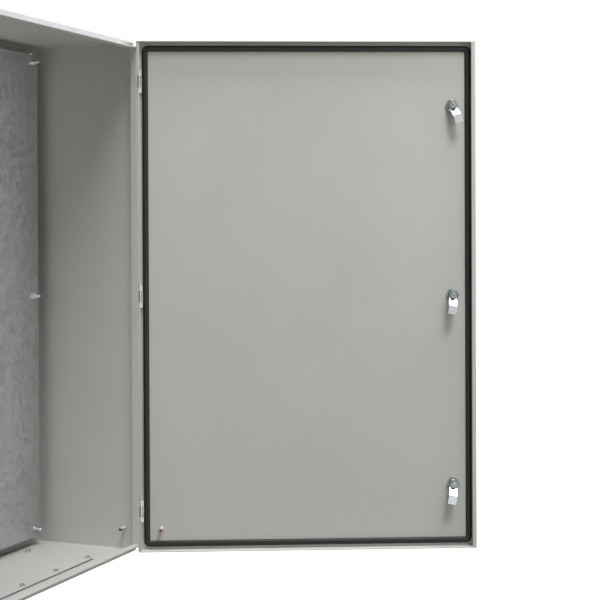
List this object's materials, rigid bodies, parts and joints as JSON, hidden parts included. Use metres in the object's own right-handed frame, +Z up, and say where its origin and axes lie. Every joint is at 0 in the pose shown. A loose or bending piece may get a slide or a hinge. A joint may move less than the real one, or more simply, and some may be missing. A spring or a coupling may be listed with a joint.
{
  "type": "steel wall enclosure",
  "caption": "Wall-mounted sheet-steel box with a hinged front door, foamed seal, turning cam locks, earth studs, an internal mounting plate and a gland plate in the floor.",
  "frame": {"origin": "middle of the four wall holes, on the back face that lies on the wall", "axes": "+Z up, -Y out of the front, +X to the hinge side"},
  "size_m": [1.1407, 1.0126, 1.2],
  "materials": {
    "body_paint": "light grey textured powder coat",
    "door_paint": "light grey textured powder coat",
    "mounting_plate_zinc": "galvanised sheet, dull",
    "fastener_zinc": "bright zinc plate",
    "gland_rubber": "matt",
    "door_foam": "foamed polyurethane, matt",
    "stud_copper": "copper plate",
    "hinge_zinc": "die-cast zinc, satin",
    "lock_rubber": "matt",
    "lock_diecast": "die-cast zinc, dull chrome",
    "lock_steel": "bright zinc plate"
  },
  "bodies": {
    "enclosure": {"hinge_side_wall": "body_paint", "lock_side_wall": "body_paint", "top_wall": "body_paint", "bottom_wall": "body_paint", "back_panel": "body_paint", "mounting_plate": "mounting_plate_zinc", "plate_studs": "fastener_zinc", "plate_nuts": "fastener_zinc", "gland_plate": "body_paint", "gland_seal": "gland_rubber", "gland_screws": "fastener_zinc", "body_earth_stud": "stud_copper", "hinge_body_leaf_top": "hinge_zinc", "hinge_body_leaf_middle": "hinge_zinc", "hinge_body_leaf_bottom": "hinge_zinc", "hinge_screws": "fastener_zinc"},
    "door": {"hinge_door_leaf_top": "hinge_zinc", "hinge_door_leaf_middle": "hinge_zinc", "hinge_door_leaf_bottom": "hinge_zinc", "hinge_pin_top": "hinge_zinc", "hinge_pin_middle": "hinge_zinc", "hinge_pin_bottom": "hinge_zinc", "door_panel": "door_paint", "door_seal": "door_foam", "door_earth_stud": "stud_copper", "lock_housing_top": "lock_diecast", "lock_housing_middle": "lock_diecast", "lock_housing_bottom": "lock_diecast", "lock_washer_top": "lock_rubber", "lock_washer_middle": "lock_rubber", "lock_washer_bottom": "lock_rubber", "lock_nut_top": "lock_steel", "lock_nut_middle": "lock_steel", "lock_nut_bottom": "lock_steel"},
    "lock_top": {"lock_insert_top": "lock_diecast", "lock_cam_top": "lock_steel", "cam_washer_top": "lock_steel", "cam_screw_top": "lock_steel"},
    "lock_middle": {"lock_insert_middle": "lock_diecast", "lock_cam_middle": "lock_steel", "cam_washer_middle": "lock_steel", "cam_screw_middle": "lock_steel"},
    "lock_bottom": {"lock_insert_bottom": "lock_diecast", "lock_cam_bottom": "lock_steel", "cam_washer_bottom": "lock_steel", "cam_screw_bottom": "lock_steel"}
  },
  "joints": [
    {"name": "door_hinge", "type": "hinge", "parent": "enclosure", "child": "door", "pos_m": [0.394, -0.28771, 0], "axis": [0, 0, 1], "range_deg": [-115, 15]},
    {"name": "lock_turn_top", "type": "hinge", "parent": "door", "child": "lock_top", "pos_m": [0.71649, -0.95494, 0.45], "axis": [-0.9063, -0.4226, 0], "range_deg": [-30, 72]},
    {"name": "lock_turn_middle", "type": "hinge", "parent": "door", "child": "lock_middle", "pos_m": [0.71649, -0.95494, 0], "axis": [-0.9063, -0.4226, 0], "range_deg": [-5, 97]},
    {"name": "lock_turn_bottom", "type": "hinge", "parent": "door", "child": "lock_bottom", "pos_m": [0.71649, -0.95494, -0.45], "axis": [-0.9063, -0.4226, 0], "range_deg": [-1.5, 100.5]}
  ]
}
